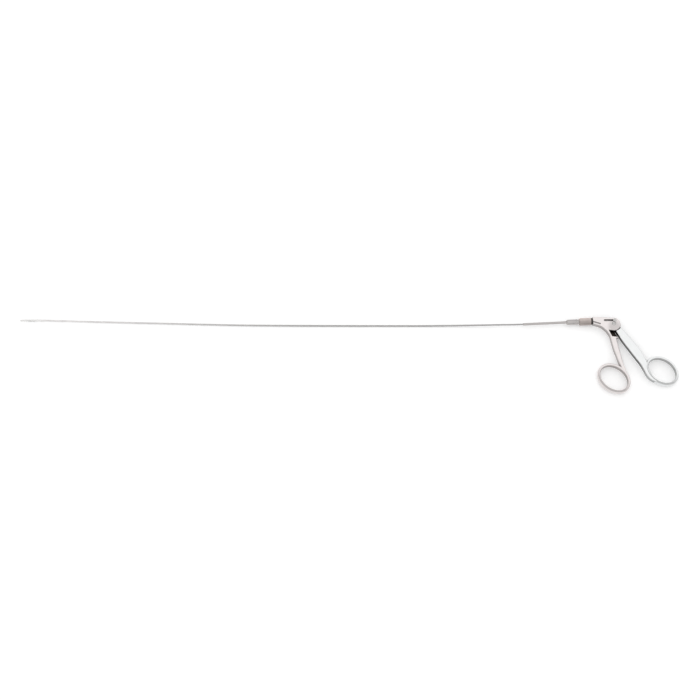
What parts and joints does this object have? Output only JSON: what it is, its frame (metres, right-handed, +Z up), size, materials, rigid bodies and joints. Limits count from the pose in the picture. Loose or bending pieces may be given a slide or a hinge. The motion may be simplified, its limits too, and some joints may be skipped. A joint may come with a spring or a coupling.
{
  "type": "flexible grasping forceps",
  "caption": "Stainless flexible grasping forceps: ring handle with a swinging rear arm, long coil shaft and small toothed jaws that open through a pull rod, a wire and links.",
  "frame": {"origin": "on the resting plane, straight under the handle pivot, on the flat underside of the head", "axes": "+X from the jaws toward the handle along the closed shaft, +Y away from the finger rings, +Z up from the surface that the forceps lie on"},
  "size_m": [0.6476, 0.078, 0.0086],
  "materials": {
    "satin_steel": "satin",
    "nut_steel": "satin",
    "tube_steel": "satin",
    "coil_steel": "satin",
    "tip_steel": "gloss",
    "screw_steel": "satin",
    "dark_seal": "matte"
  },
  "bodies": {
    "frame": {"front_handle": "satin_steel", "pivot_screw": "screw_steel", "seal_ring": "dark_seal", "union_nut": "nut_steel", "ferrule": "tube_steel", "support_tube": "tube_steel", "coil_sheath": "coil_steel", "distal_sleeve": "tip_steel", "clevis": "tip_steel", "jaw_pivot_pin": "tip_steel"},
    "lever": {"rear_handle": "satin_steel"},
    "rod": {"pull_rod": "tube_steel", "rod_guide_screw": "screw_steel", "pull_wire": "tube_steel", "wire_end_block": "tip_steel", "wire_end_pin": "tip_steel"},
    "left_jaw": {"jaw_left": "tip_steel", "link_rivet_left": "screw_steel"},
    "right_jaw": {"jaw_right": "tip_steel", "link_rivet_right": "screw_steel"},
    "left_link": {"link_left": "tip_steel"},
    "right_link": {"link_right": "tip_steel"}
  },
  "joints": [
    {"name": "lever_pivot", "type": "hinge", "parent": "frame", "child": "lever", "pos_m": [0, 0, 0.0038], "axis": [0, 0, 1], "range_deg": [0, 30.1]},
    {"name": "rod_slide", "type": "slide", "parent": "frame", "child": "rod", "axis": [-1, 0, 0], "range_m": [0, 0.00178]},
    {"name": "jaw_left_pivot", "type": "hinge", "parent": "frame", "child": "left_jaw", "pos_m": [-0.578, 0.0053, 0.00097], "axis": [0, 0, -1], "range_deg": [0, 48.01]},
    {"name": "jaw_right_pivot", "type": "hinge", "parent": "frame", "child": "right_jaw", "pos_m": [-0.578, 0.0053, 0.00097], "axis": [0, 0, 1], "range_deg": [0, 48.01]},
    {"name": "link_left_pivot", "type": "hinge", "parent": "left_jaw", "child": "left_link", "pos_m": [-0.57551, 0.00508, 0.00097], "axis": [0, 0, 1], "range_deg": [0, 87.22]},
    {"name": "link_right_pivot", "type": "hinge", "parent": "right_jaw", "child": "right_link", "pos_m": [-0.57551, 0.00552, 0.00097], "axis": [0, 0, -1], "range_deg": [0, 87.22]}
  ],
  "couplings": [
    {"joint": "rod_slide", "follows": "lever_pivot", "m_per_rad": 0.003378},
    {"joint": "jaw_left_pivot", "follows": "lever_pivot", "ratio": 1.5948},
    {"joint": "link_left_pivot", "follows": "lever_pivot", "ratio": 2.8972},
    {"joint": "jaw_right_pivot", "follows": "lever_pivot", "ratio": 1.5948},
    {"joint": "link_right_pivot", "follows": "lever_pivot", "ratio": 2.8972}
  ]
}
